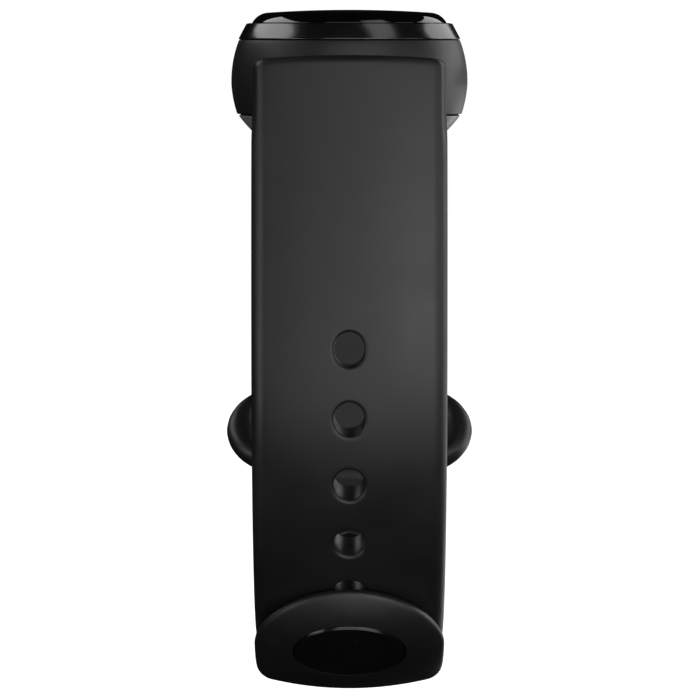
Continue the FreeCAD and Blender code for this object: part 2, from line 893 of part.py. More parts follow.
def inner_carrier():
    """The plastic carrier between display and board, with two screw bosses."""
    body = plate("inner_carrier", S.display_radius, S.half_run - 1, carrier_low, S.carrier_thickness)
    bosses = new_sketch(body, "XY", board_top)
    bores = new_sketch(body, "XY", board_top)
    for side in (1, -1):
        circle(bosses, S.boss_radius, 0, S.screw_place * side)
        circle(bores, S.screw_radius, 0, S.screw_place * side)
    extrude(body, bosses, carrier_low - board_top)
    extrude(body, bores, carrier_low - board_top, cut=True, reverse=True)


def main_board():
    body = plate("main_board", S.board_radius, S.board_run, -S.board_drop, S.board_thickness)
    holes = new_sketch(body, "XY", -S.board_drop - 1)
    for side in (1, -1):
        circle(holes, S.screw_hole_radius, 0, S.screw_place * side)
    extrude(body, holes, S.board_thickness + 2, cut=True, reverse=True)
    screws = []
    for side in (1, -1):
        y = S.screw_place * side
        head = upright("screw_head", S.screw_head_radius, S.screw_head, 0, y, -S.board_drop - S.screw_head)
        shank = upright("screw_shank", S.screw_radius, S.screw_length, 0, y, -S.board_drop)
        screws.append(fuse("screw", [head, shank]))
    keep("board_screws", group("board_screws", screws))


def hung(height):
    """The underside of something of that height on the underside of the main board."""
    return -S.board_drop - height


def chips():
    """What hangs on the underside of the main board."""
    skin = block("shield_skin", S.shield_x, S.shield_y, S.shield_height,
                 0, S.radio_place, hung(S.shield_height))
    room_x = S.shield_x - S.shield_wall * 2
    room_y = S.shield_y - S.shield_wall * 2
    room_height = S.shield_height - S.shield_wall
    room = block("shield_room", room_x, room_y, room_height, 0, S.radio_place, hung(room_height))
    keep("shield_can", cut("shield_can", skin, room))
    keep("radio_chip", block("radio_chip", S.radio_side, S.radio_side, S.radio_height,
                             0, S.radio_place, hung(S.radio_height)))
    keep("memory_chip", block("memory_chip", S.memory_x, S.memory_y, S.memory_height,
                              -S.memory_side_step, -S.memory_place, hung(S.memory_height)))
    keep("motion_sensor", block("motion_sensor", S.motion_side, S.motion_side, S.motion_height,
                                S.motion_place_x, -S.motion_place_y, hung(S.motion_height)))
    small = []
    for column in range(int(S.capacitor_columns.value)):
        for line in range(2):
            x = S.capacitor_pitch_x * column - S.capacitor_start_x
            y = -S.capacitor_start_y - S.capacitor_pitch_y * line
            small.append(block("capacitor", S.capacitor_length, S.capacitor_width, S.capacitor_width,
                               x, y, hung(S.capacitor_width)))
    keep("small_parts", group("small_parts", small))
    keep("antenna", block("antenna", S.antenna_length, S.antenna_width, S.antenna_height,
                          0, -S.antenna_place, board_top))


def battery():
    body = new_body("battery", z=S.cradle_top)
    cell = new_sketch(body, "XY", -S.battery_drop)
    rounded_box(cell, S.battery_width / 2, S.battery_length / 2, S.battery_corner)
    extrude(body, cell, S.battery_thickness)
    middle = S.battery_thickness / 2 - S.battery_drop
    guard_y = (S.battery_length + S.guard_width) / -2
    keep("battery_guard_board", block("battery_guard_board", S.guard_length, S.guard_width,
                                      S.guard_height, 0, guard_y, middle))


def sensor():
    """The pulse sensor on the base: board, lamps, detectors, baffle and lens."""
    body = new_body("sensor_board", z=S.cradle_top)
    board = new_sketch(body, "XY", -S.sensor_drop)
    rounded_box(board, S.sensor_board_half_x, S.sensor_board_half_y, S.sensor_board_corner,
                y=S.sensor_board_place)
    extrude(body, board, S.sensor_board_thickness)
    low = -S.sensor_drop
    lip_low = S.wall - S.base_drop
    lip_top = lip_low + S.lens_lip_thickness
    baffle_height = low - lip_top
    lamps = []
    cells = []
    rooms = [block("lamp_room", S.baffle_room_x, S.lamp_room_y, baffle_height, 0, 0, lip_top)]
    for side in (1, -1):
        lamps.append(block("lamp", S.lamp_length, S.lamp_width, S.lamp_height,
                           0, S.lamp_place * side, low - S.lamp_height))
        x = S.detector_place * side
        cells.append(block("detector", S.detector_x, S.detector_y, S.detector_height,
                           x, 0, low - S.detector_height))
        rooms.append(block("detector_room", S.baffle_room_x, S.detector_room_y, baffle_height,
                           x, 0, lip_top))
    keep("green_leds", group("green_leds", lamps))
    keep("photodiodes", group("photodiodes", cells))
    walls = upright("baffle_walls", S.baffle_radius, baffle_height, 0, 0, lip_top)
    keep("light_baffle", cut("light_baffle", walls, group("baffle_rooms", rooms)))
    lens = new_body("sensor_lens", z=S.cradle_top)
    window = new_sketch(lens, "XY", -S.base_drop)
    circle(window, S.lens_radius)
    extrude(lens, window, S.wall)
    lip = new_sketch(lens, "XY", lip_low)
    circle(lip, S.lens_radius + S.lens_lip)
    extrude(lens, lip, S.lens_lip_thickness)


def charging():
    """Two contacts through the base with their seals, and the magnets beside them."""
    contacts = []
    rings = []
    magnets = []
    length = S.base_drop - S.sensor_drop
    floor = S.wall - S.base_drop
    for side in (1, -1):
        x = S.contact_offset * side
        contacts.append(upright("contact", S.contact_radius, length, x, -S.contact_place, -S.base_drop))
        rings.append(tube("seal_ring", S.contact_radius + S.contact_seal, S.contact_radius,
                          S.contact_seal_height, x, -S.contact_place, floor))
        magnets.append(upright("magnet", S.magnet_radius, S.magnet_height, x, -S.magnet_place, floor))
    keep("charge_contacts", group("charge_contacts", contacts))
    keep("contact_seals", group("contact_seals", rings))
    keep("charge_magnets", group("charge_magnets", magnets))


def motor():
    """The vibration motor: a can in a rubber boot, and a shaft with an off-centre weight."""
    bore_start = S.motor_start + S.motor_floor
    bore = lying("can_bore", S.shaft_radius + S.shaft_clearance, S.motor_length, bore_start)
    skin = lying("can_skin", S.motor_radius, S.motor_length, S.motor_start)
    keep("motor_can", cut("motor_can", skin, bore))
    sleeve_length = S.motor_length * 0.8
    sleeve_start = S.motor_start + S.motor_length * 0.1
    sleeve = lying("boot_skin", S.motor_radius + S.boot_thickness, sleeve_length, sleeve_start)
    room = lying("boot_room", S.motor_radius, sleeve_length, sleeve_start)
    keep("motor_boot", cut("motor_boot", sleeve, room))
    keep("motor_shaft", lying("motor_shaft", S.shaft_radius, S.shaft_end - S.shaft_start, S.shaft_start))
    lobe = lying("weight_lobe", S.weight_radius, S.weight_length, S.weight_start, sweep=S.weight_sweep)
    hollow = lying("weight_bore", S.shaft_radius, S.weight_length, S.weight_start)
    keep("motor_weight", cut("motor_weight", lobe, hollow))


def build():
    strap_cradle()
    strap_holes_arm()
    strap_keeper_loop()
    strap_stud_arm()
    strap_stud_tip()
    stud()
    cover_glass()
    top_frame()
    bottom_shell()
    seals()
    display()
    inner_carrier()
    main_board()
    chips()
    battery()
    sensor()
    charging()
    motor()
    doc.recompute()


def check():
    """Stop if any object has failed, or a sub-part is not a valid solid."""
    for item in doc.Objects:
        if {"Invalid", "Error"} & set(item.State):
            raise RuntimeError(f"{item.Label} ({item.Name}) failed: {item.State}")
    for label, item in parts.items():
        shape = item.Shape
        if shape.isNull() or not shape.isValid() or not shape.Solids:
            raise RuntimeError(f"{label} is not a valid solid")


def export():
    os.makedirs("parts", exist_ok=True)
    for label, item in parts.items():
        item.Shape.exportStep(f"parts/{label}.step")
        box = item.Shape.BoundBox
        print(f"{label}: {len(item.Shape.Solids)} solid(s), {item.Shape.Volume:.2f} mm3,"
              f" z {box.ZMin:.2f} to {box.ZMax:.2f}, y {box.YMin:.2f} to {box.YMax:.2f}")


build()
check()
export()
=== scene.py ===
"""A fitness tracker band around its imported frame: smooth moulded strap, glossy capsule, studio light.

Lengths are written in millimetres and turned into metres when a mesh is made.
X goes across the strap, the arm with the holes is at -Y, and +Z points out of the glass.
Angles round the wrist loop start at the front, pass the bottom at 90 and end at the back at 180.
"""
import math
import bmesh
import bpy
from mathutils import Matrix, Vector


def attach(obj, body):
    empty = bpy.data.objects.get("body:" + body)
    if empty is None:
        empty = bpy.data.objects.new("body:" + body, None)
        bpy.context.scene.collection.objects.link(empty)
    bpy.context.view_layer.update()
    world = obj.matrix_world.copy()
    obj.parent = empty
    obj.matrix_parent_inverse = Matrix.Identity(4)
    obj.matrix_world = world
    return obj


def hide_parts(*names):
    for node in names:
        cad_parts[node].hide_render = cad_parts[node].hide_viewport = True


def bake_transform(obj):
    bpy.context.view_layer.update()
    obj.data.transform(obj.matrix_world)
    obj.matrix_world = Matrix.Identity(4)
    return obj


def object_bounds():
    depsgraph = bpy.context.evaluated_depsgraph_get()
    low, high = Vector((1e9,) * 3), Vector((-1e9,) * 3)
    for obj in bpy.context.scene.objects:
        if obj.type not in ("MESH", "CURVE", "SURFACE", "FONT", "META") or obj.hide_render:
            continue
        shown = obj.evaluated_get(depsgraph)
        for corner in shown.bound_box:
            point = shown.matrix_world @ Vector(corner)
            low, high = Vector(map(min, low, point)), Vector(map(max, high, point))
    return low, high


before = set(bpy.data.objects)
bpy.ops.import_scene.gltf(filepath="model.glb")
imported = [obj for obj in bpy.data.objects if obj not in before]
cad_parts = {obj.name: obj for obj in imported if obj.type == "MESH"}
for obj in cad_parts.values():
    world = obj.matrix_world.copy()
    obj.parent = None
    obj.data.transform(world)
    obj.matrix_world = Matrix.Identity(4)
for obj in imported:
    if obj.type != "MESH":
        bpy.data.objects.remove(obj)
cad_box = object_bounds()

MM = 0.001
HAIR = 1e-6

# strap section: the outer face is crowned, and its edges are rounded over a reach that grows at the tip
HALF_WIDTH = 7.925
THICKNESS = 2.45
CROWN_RADIUS = 29.0
EDGE_REACH = 1.2
TIP_EDGE_REACH = 3.5
EDGE_STEPS = 11
INNER_ROUND = 0.3
TIP_INNER_ROUND = 0.6
INNER_STEPS = 4
FLANK_SHARE = 1.15
FINE_STEPS = 26

# wrist loop: radii of the crests of the inner and the outer layer, and of the two sides above them
LOOP_Z = 5.19
LOOP = 28.2
LAYER_GAP = 0.15
OUTER = LOOP + LAYER_GAP + THICKNESS
RISE = 110.0
RISE_TOP = 23.76
ROW_STEP = 0.55
STATION_STEP = 0.5

# top edge of an arm, and the web that spreads into the cradle below it
TOP_ALONG = RISE * math.asin(RISE_TOP / RISE)
TOP_BOW = 0.15
TOP_CORNER = 0.5
TOP_ROUND = 0.8
TOP_FADE = 5.0
WEB_LOW = 21.6
WEB_HIGH = 24.6
WEB_RADIUS = 9.2
ROUND_STEPS = 6

# row of holes: each hole has a square cell of the arm, and HOLE_STEPS points on each of its sides
HOLE_RADIUS = 1.25
HOLE_RUN = 0.175
HOLE_PITCH = 11.7
HOLES = 12
CELL_HALF = LOOP * math.radians(HOLE_PITCH) / 2
RIM_ROUND = 0.3
HOLE_STEPS = 12
UNDER_STEPS = 3
OUTER_SHARES = (1.0, 0.66, 0.36, 0.14)
INNER_SHARES = (0.25, 0.6, 1.0)

# keeper loop: the oval is (half width, half height, end radius), the slot (half width, half height,
# corner radius)
KEEPER_ANGLE = 157.4
KEEPER_RADIUS = 28.0
KEEPER_TILT = 24.0
KEEPER_THICKNESS = 2.2
KEEPER_OVAL = (11.2, 6.6, 4.6)
KEEPER_SLOT = (8.65, 3.7, 2.4)
KEEPER_FULLNESS = 2 / 2.05
QUARTER_STEPS = 14
NECK_LENGTH = 6.8
NECK_END = 0.76
NECK_HALF = 0.45
CROSSING = 10.0

# stud: the tip's half-round end starts before the cap's middle and is a little longer than it is wide
STUD_ANGLE = 58.5
HINGE_ANGLE = 80.0
TIP_REACH = -0.6
TIP_STRETCH = 0.9
TIP_WIDENED = STUD_ANGLE + 4.0
TIP_TURNS = 72
LEVEL_REACH = 4.5
CAP_RADIUS = 4.65
CAP_GAP = 0.1
CAP_THICKNESS = 1.05
CAP_DOME = 29.5
BEVEL_WIDTH = 0.14
BEVEL_DROP = 0.22
CAP_TURNS = 96
PIN_RADIUS = 1.02
PIN_WAIST = 0.85
PIN_END = 0.7
PIN_SHOULDER = 28.27
PIN_HEAD = 25.4
PIN_LOW = 24.75
PIN_TURNS = 40

# capsule and its cradle: every height is above or below the cradle's top
HALF_RUN = 14.24
CRADLE_TOP = 30.0
CRADLE_HEIGHT = 6.1
CRADLE_INSIDE = 8.1
CRADLE_BEND = 9.5
GLASS_RADIUS = 8.06
GLASS_FACE = 6.7
GLASS_LOW = 1.4
GLASS_SHOULDER = 2.27
GLASS_CREST = 2.5
GLASS_EDGE_BEND = 1.6
FRAME_RADIUS = 9.18
FRAME_BODY = 8.0
FRAME_INSIDE = 7.2
FRAME_LOW = 2.85
SHELL_WIDE = 9.2
SHELL_FACE = 4.35
SHELL_BEND = 11.5
SHELL_LOW = 10.0
SHELL_STEP = 6.2
SHELL_TOP = 3.0
PILL_CORE = 0.4
PILL_TURNS = 40
PILL_RUNS = 20


# Curves and meshes


# the most of an edge that the rounding of one corner may take
EDGE_ROOM = 0.45


def on_loop(angle, radius, centre=(0.0, LOOP_Z)):
    """The point (y, z) on a circle about the wrist loop's axis, or about another centre."""
    turn = math.radians(angle)
    return centre[0] - radius * math.cos(turn), centre[1] - radius * math.sin(turn)


def smoothstep(low, high, value):
    """How far value has gone from low to high, from 0 to 1, with soft ends."""
    share = min(max((value - low) / (high - low), 0.0), 1.0)
    return share * share * (3 - 2 * share)


def arc(start, stop, radius, steps):
    """Points from start towards stop, which is left out, on an arc whose centre is on the left."""
    start = Vector(start)
    stop = Vector(stop)
    chord = stop - start
    left = Vector((-chord.y, chord.x)).normalized()
    reach = math.sqrt(max(radius * radius - chord.length_squared / 4, 0.0))
    centre = (start + stop) / 2 + left * math.copysign(reach, radius)
    first = math.atan2(start.y - centre.y, start.x - centre.x)
    turn = math.atan2(stop.y - centre.y, stop.x - centre.x) - first
    turn = (turn + math.pi) % (2 * math.pi) - math.pi
    points = []
    for step in range(steps):
        angle = first + turn * step / steps
        x = centre.x + abs(radius) * math.cos(angle)
        y = centre.y + abs(radius) * math.sin(angle)
        points.append((x, y))
    return points


def profile(corners, rounding=0.08, steps=8, closed=True):
    """An outline through corners (x, y) or (x, y, radius of the edge that follows), its sharp corners
    rounded a little."""
    raw = []
    for index, corner in enumerate(corners):
        following = corners[(index + 1) % len(corners)]
        if len(corner) == 3 and (closed or index + 1 < len(corners)):
            raw.extend(arc(corner[:2], following[:2], corner[2], steps))
        else:
            raw.append(tuple(corner[:2]))
    return soften(raw, rounding, closed)


def soften(points, rounding, closed=True, sharp=math.radians(18), steps=4):
    """Round the corners of an outline that turn by more than a small angle."""
    result = []
    count = len(points)
    for index, point in enumerate(points):
        here = Vector(point)
        if not closed and index in (0, count - 1):
            result.append(tuple(here))
            continue
        before = Vector(points[index - 1]) - here
        after = Vector(points[(index + 1) % count]) - here
        turn = math.pi - before.angle(after)
        if turn < sharp or here.x == 0:
            result.append(tuple(here))
            continue
        room = min(before.length, after.length) * EDGE_ROOM
        reach = min(rounding * math.tan(turn / 2), room)
        start = here + before.normalized() * reach
        stop = here + after.normalized() * reach
        for step in range(steps + 1):
            share = step / steps
            curve = start * (1 - share) ** 2 + here * 2 * share * (1 - share) + stop * share**2
            result.append(tuple(curve))
    return result


def link_rings(faces, first, second, count, closed=True):
    """Quads between two runs of count points, which start at the indices first and second."""
    for step in range(count if closed else count - 1):
        following = (step + 1) % count
        faces.append((first + step, first + following, second + following, second + step))


def loft(rings, closed=True, ends=True):
    """Points and faces of a skin over rings that all have the same number of points."""
    count = len(rings[0])
    points = [point for ring in rings for point in ring]
    faces = []
    for index in range(len(rings) - 1):
        link_rings(faces, index * count, (index + 1) * count, count, closed)
    if ends:
        faces.append(tuple(range(count))[::-1])
        faces.append(tuple(range(len(points) - count, len(points))))
    return points, faces


def piece(name, shape, finish, body=None, stands_for=(), sharp=50.0):
    """Make a mesh object from points in millimetres and faces, hide the frame's parts that it stands
    for, and hang it on its body.
    """
    points, faces = shape
    mesh = bpy.data.meshes.new(name)
    mesh.from_pydata([Vector(point) * MM for point in points], [], faces)
    work = bmesh.new()
    work.from_mesh(mesh)
    bmesh.ops.remove_doubles(work, verts=work.verts, dist=HAIR)
    bmesh.ops.dissolve_degenerate(work, dist=HAIR, edges=work.edges)
    bmesh.ops.recalc_face_normals(work, faces=work.faces)
    work.to_mesh(mesh)
    work.free()
    item = bpy.data.objects.new(name, mesh)
    bpy.context.scene.collection.objects.link(item)
    smooth(item, sharp)
    mesh.materials.append(finish)
    if stands_for:
        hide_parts(*stands_for)
    if body:
        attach(item, body)
    return item


def smooth(item, sharp=50.0):
    """Smooth shading, but for edges that turn by more than the angle sharp."""
    item.data.shade_smooth()
    item.data.set_sharp_from_angle(angle=math.radians(sharp))


def carve(item, cutters):
    """Cut other meshes out of this one for good."""
    for cutter in cutters:
        modifier = item.modifiers.new("Cut", "BOOLEAN")
        modifier.operation = "DIFFERENCE"
        modifier.solver = "EXACT"
        modifier.object = cutter
    graph = bpy.context.evaluated_depsgraph_get()
    result = bpy.data.meshes.new_from_object(item.evaluated_get(graph))
    item.modifiers.clear()
    item.data = result
    for cutter in cutters:
        bpy.data.objects.remove(cutter)


def turned(outline_points, place=Matrix.Identity(4), segments=72):
    """Turn an outline of (radius, height) about a local axis. Height goes along local -Y."""
    rings = []
    for step in range(segments):
        angle = 2 * math.pi * step / segments
        ring = []
        for radius, height in outline_points:
            local = Vector((radius * math.cos(angle), -height, radius * math.sin(angle)))
            ring.append(tuple(place @ local))
        rings.append(ring)
    rings.append(rings[0])
    return loft(rings, closed=True, ends=False)


def local_frame(y, z, angle):
    """A frame turned about X, whose -Y axis points out from the loop at that angle."""
    return Matrix.Translation((0, y, z)) @ Matrix.Rotation(math.radians(angle), 4, "X")


def pill_swept(outline_points, turns=28, runs=14, closed=True):
    """A shape with a pill plan: its half profile (radius, height) goes once round. The two ends of a
    profile that isn't closed are filled with flat faces."""
    half_run = HALF_RUN
    stations = []
    for step in range(turns):
        angle = math.pi * step / turns
        stations.append((math.cos(angle), math.sin(angle), half_run))
    for step in range(runs):
        stations.append((-1.0, 0.0, half_run - 2 * half_run * step / runs))
    for step in range(turns):
        angle = math.pi * (1 + step / turns)
        stations.append((math.cos(angle), math.sin(angle), -half_run))
    for step in range(runs):
        stations.append((1.0, 0.0, 2 * half_run * step / runs - half_run))
    rings = [
        [(radius * across, middle + radius * along, height) for radius, height in outline_points]
        for across, along, middle in stations
    ]
    rings.append(rings[0])
    points, faces = loft(rings, closed=closed, ends=False)
    if not closed:
        count = len(outline_points)
        faces.append(tuple(step * count for step in range(len(stations)))[::-1])
        faces.append(tuple(step * count + count - 1 for step in range(len(stations))))
    return points, faces


# Strap


def crown_drop(x):
    """How far the domed outer face has fallen below its crest at that distance from the middle."""
    return CROWN_RADIUS - math.sqrt(CROWN_RADIUS**2 - x * x)


def half_section(start_x, edge_reach=EDGE_REACH, inner_round=INNER_ROUND, dome_steps=9, floor_steps=6):
    """The right half of the strap's section as (x, depth below the crest), from the dome at start_x
    round the edge to the inner face at start_x. The outer edge is rounded over edge_reach."""
    edge_x = HALF_WIDTH - edge_reach
    edge_fall = THICKNESS - inner_round * FLANK_SHARE - crown_drop(HALF_WIDTH)
    points = []
    for step in range(dome_steps):
        x = start_x + (edge_x - start_x) * step / dome_steps
        points.append((x, crown_drop(x)))
    for step in range(EDGE_STEPS + 1):
        angle = math.pi / 2 * step / EDGE_STEPS
        x = edge_x + edge_reach * math.sin(angle)
        points.append((x, crown_drop(x) + edge_fall * (1 - math.cos(angle))))
    for step in range(INNER_STEPS + 1):
        angle = math.pi / 2 * step / INNER_STEPS
        x = HALF_WIDTH - inner_round * (1 - math.cos(angle))
        points.append((x, THICKNESS - inner_round * (1 - math.sin(angle))))
    floor_x = points[-1][0]
    for step in range(1, floor_steps + 1):
        points.append((floor_x + (start_x - floor_x) * step / floor_steps, THICKNESS))
    return points


def front_station(along):
    """The front arm's crest at a distance round the loop from its front: (y, z, angle)."""
    if along >= 0:
        angle = math.degrees(along / LOOP)
        return (*on_loop(angle, LOOP), angle)
    angle = math.degrees(along / RISE)
    return (*on_loop(angle, RISE, (RISE - LOOP, LOOP_Z)), angle)


def back_station(above):
    """The back arm's crest on its rise, at that distance above the middle of the loop."""
    angle = 180 + math.degrees(above / RISE)
    return (*on_loop(angle, RISE, (LOOP - RISE, LOOP_Z)), angle)


def sunk(station, x, depth):
    """The point at that depth under the crest of a station."""
    y, z, angle = station
    turn = math.radians(angle)
    return x, y + depth * math.cos(turn), z + depth * math.sin(turn)


def root_point(station_at, above, x, depth):
    """A point of an arm near its root: the top edge is bowed and rounded, and the inner side spreads
    into the cradle's ring. above is the distance above the middle of the loop."""
    fade = smoothstep(TOP_ALONG - TOP_FADE, TOP_ALONG, above)
    bowed = above - TOP_BOW * (x / HALF_WIDTH) ** 2 * fade
    point = sunk(station_at(bowed), x, depth)
    spread = smoothstep(WEB_LOW, WEB_HIGH, point[2]) * smoothstep(0.5, 1.0, depth / THICKNESS)
    if spread > 0:
        way = math.copysign(1.0, point[1])
        ring_y = way * (HALF_RUN + math.sqrt(max(WEB_RADIUS**2 - x * x, 0.0)))
        point = (x, point[1] + (ring_y - point[1]) * spread, point[2])
    return point


def root_rings(station_at, section, lowest):
    """Rings of an arm from its rounded top edge down to the height lowest above the loop's middle."""
    rings = []
    for step in range(ROUND_STEPS + 1):
        angle = math.pi / 2 * step / ROUND_STEPS
        fall = TOP_ROUND * (1 - math.sin(angle))
        above = TOP_ALONG - TOP_ROUND * (1 - math.cos(angle))
        ring = []
        for x, depth in section:
            narrow = 1 - TOP_CORNER * (1 - math.sin(angle)) / HALF_WIDTH
            sunk_depth = depth + fall * (1 - depth / THICKNESS)
            ring.append(root_point(station_at, above, x * narrow, sunk_depth))
        rings.append(ring)
    above = TOP_ALONG - TOP_ROUND
    rows = int((above - lowest) / ROW_STEP)
    for row in range(1, rows + 1):
        here = above + (lowest - above) * row / rows
        rings.append([root_point(station_at, here, x, depth) for x, depth in section])
    return rings


def even_section(**sizes):
    """The strap's whole closed section, whose two halves meet at the middle."""
    right = half_section(0.0, dome_steps=FINE_STEPS, floor_steps=FINE_STEPS, **sizes)
    return right + [(-x, depth) for x, depth in right[-2:0:-1]]


def celled_section():
    """The strap's whole closed section, with a plain middle as wide as a hole's cell."""
    right = half_section(CELL_HALF)
    across = [CELL_HALF - 2 * CELL_HALF * step / HOLE_STEPS for step in range(1, HOLE_STEPS)]
    left = [(-x, depth) for x, depth in right[::-1]]
    inner_face = [(x, THICKNESS) for x in across]
    outer_face = [(-x, crown_drop(x)) for x in across]
    return right + inner_face + left + outer_face


def hole_outline(grow):
    """The hole's outline, grown by that much, as (x, along) points that look at a square's edge."""
    points = []
    for corner in range(4):
        for step in range(HOLE_STEPS):
            share = 2 * step / HOLE_STEPS - 1
            edge = ((1, share), (-share, 1), (-1, -share), (share, -1))[corner]
            angle = math.atan2(edge[1], edge[0])
            points.append((math.cos(angle) * (HOLE_RADIUS + grow),
                           math.sin(angle) * (HOLE_RADIUS + HOLE_RUN + grow)))
    return points


def square_outline(half):
    """The edge of a hole's cell, as (x, along) points that match the hole's outline one by one."""
    points = []
    for corner in range(4):
        for step in range(HOLE_STEPS):
            share = (2 * step / HOLE_STEPS - 1) * half
            points.append(((half, share), (-share, half), (-half, -share), (share, -half))[corner])
    return points


def hole_cell(points, faces, middle_along):
    """Add one stretch of the front arm to points and faces: its hole and the two sides beside it."""
    half = CELL_HALF
    # the sides, which go round the strap's edges
    right = half_section(half)
    for way in (1, -1):
        first = len(points)
        for row in range(HOLE_STEPS + 1):
            along = middle_along + half * (2 * row / HOLE_STEPS - 1)
            points.extend(front_point(along, x * way, depth) for x, depth in right)
        for row in range(HOLE_STEPS):
            start = first + row * len(right)
            link_rings(faces, start, start + len(right), len(right), closed=False)
    # the middle, in rings from the square's edge over the rim and down the hole to the inner face
    square = square_outline(half)
    rim = hole_outline(RIM_ROUND)
    loops = []
    for share in OUTER_SHARES:
        loops.append([(lerp(a, b, share), "outer", 0.0) for a, b in zip(rim, square)])
    for step in range(ROUND_STEPS + 1):
        angle = math.pi / 2 * step / ROUND_STEPS
        outline = hole_outline(RIM_ROUND * (1 - math.sin(angle)))
        loops.append([(place, "outer", RIM_ROUND * (1 - math.cos(angle))) for place in outline])
    under_round = RIM_ROUND / 2
    for step in range(UNDER_STEPS + 1):
        angle = math.pi / 2 * step / UNDER_STEPS
        outline = hole_outline(under_round * (1 - math.cos(angle)))
        loops.append([(place, "inner", under_round * (1 - math.sin(angle))) for place in outline])
    under_rim = hole_outline(under_round)
    for share in INNER_SHARES:
        loops.append([(lerp(a, b, share), "inner", 0.0) for a, b in zip(under_rim, square)])
    count = len(square)
    first = len(points)
    for loop in loops:
        for (x, along), face, inset in loop:
            depth = crown_drop(x) + inset if face == "outer" else THICKNESS - inset
            points.append(front_point(middle_along + along, x, depth))
    for index in range(len(loops) - 1):
        link_rings(faces, first + index * count, first + (index + 1) * count, count)


def lerp(first, second, share):
    """The point at that share of the way between two others."""
    return tuple(a + (b - a) * share for a, b in zip(first, second))


def front_point(along, x, depth):
    """A point of the front arm, at a distance round the loop from its front."""
    return sunk(front_station(along), x, depth)


def joined(*shapes):
    """Several (points, faces) shapes as one."""
    points = []
    faces = []
    for more, more_faces in shapes:
        first = len(points)
        points += more
        faces += [tuple(first + corner for corner in face) for face in more_faces]
    return points, faces


def holes_arm():
    """The front arm: its rounded root, the row of holes, and the neck of the keeper loop."""
    cells = ([], [])
    for index in range(HOLES):
        hole_cell(*cells, index * 2 * CELL_HALF)
    section = celled_section()
    count = len(section)
    top = root_rings(lambda height: front_station(-height), section, CELL_HALF)
    root = loft(top, ends=False)
    root[1].append(tuple(range(count)))
    # below the holes the arm goes on plain, then thins into the keeper loop's near bar
    tilt = math.radians(KEEPER_TILT)
    neck_drop = math.atan(NECK_LENGTH * math.cos(tilt) / (KEEPER_RADIUS - NECK_LENGTH * math.sin(tilt)))
    arm_end = LOOP * (math.radians(KEEPER_ANGLE) - neck_drop)
    last_cell = (2 * HOLES - 1) * CELL_HALF
    rings = []
    plain_steps = 8
    for step in range(plain_steps + 1):
        along = last_cell + (arm_end - last_cell) * step / plain_steps
        rings.append([front_point(along, x, depth) for x, depth in section])
    place = keeper_frame()
    bar = NECK_LENGTH * NECK_END
    arm_ring = rings[-1]
    target = []
    for x, depth in section:
        share = depth * 2 / THICKNESS - 1
        target.append(place @ Vector((x, share * KEEPER_THICKNESS * NECK_HALF, bar)))
    neck_steps = 4
    for step in range(1, neck_steps + 1):
        rings.append([tuple(Vector(a).lerp(b, step / neck_steps)) for a, b in zip(arm_ring, target)])
    neck = loft(rings, ends=False)
    neck[1].append(tuple(range(len(neck[0]) - count, len(neck[0]))))
    piece("holes_arm", joined(cells, root, neck), rubber, "strap", ["strap_holes_arm"])


def keeper_frame():
    """The keeper loop's own frame, tilted against the arm that carries it."""
    return local_frame(*on_loop(KEEPER_ANGLE, KEEPER_RADIUS), KEEPER_ANGLE - KEEPER_TILT)


def oval_outline(half_width, half_height, end_radius, steps):
    """Points round an oval with small end arcs and wide side arcs, each quarter with equal steps."""
    end_x = half_width - end_radius
    rest = half_height**2 - end_radius**2
    wide = (end_x**2 + rest) / ((half_height - end_radius) * 2)
    middle_y = half_height - wide
    join_angle = math.atan2(-middle_y, end_x)
    samples = []
    for step in range(steps + 1):
        angle = join_angle * step / steps
        samples.append((end_x + end_radius * math.cos(angle), end_radius * math.sin(angle)))
    for step in range(1, steps + 1):
        angle = join_angle + (math.pi / 2 - join_angle) * step / steps
        samples.append((wide * math.cos(angle), middle_y + wide * math.sin(angle)))
    return resample(samples, steps * 2)


def box_outline(half_width, half_height, radius, steps):
    """A quarter of a rounded box, from its right side to its top."""
    samples = [(half_width, 0.0)]
    for step in range(steps + 1):
        angle = math.pi / 2 * step / steps
        samples.append((half_width - radius + radius * math.cos(angle),
                        half_height - radius + radius * math.sin(angle)))
    samples.append((0.0, half_height))
    return resample(samples, steps * 2)


def resample(samples, count):
    """Points at equal distances along a run of points, the last one included."""
    lengths = [0.0]
    for before, after in zip(samples, samples[1:]):
        lengths.append(lengths[-1] + (Vector(after) - Vector(before)).length)
    result = []
    index = 0
    for step in range(count + 1):
        goal = lengths[-1] * step / count
        while index < len(samples) - 2 and lengths[index + 1] < goal:
            index += 1
        span = lengths[index + 1] - lengths[index]
        share = (goal - lengths[index]) / span if span else 0.0
        result.append(lerp(samples[index], samples[index + 1], share))
    return result


def all_quarters(quarter):
    """A whole outline from its first quarter."""
    top_left = [(-x, y) for x, y in quarter[-2::-1]]
    upper = quarter + top_left
    lower = [(-x, -y) for x, y in upper[1:-1]]
    return upper + lower


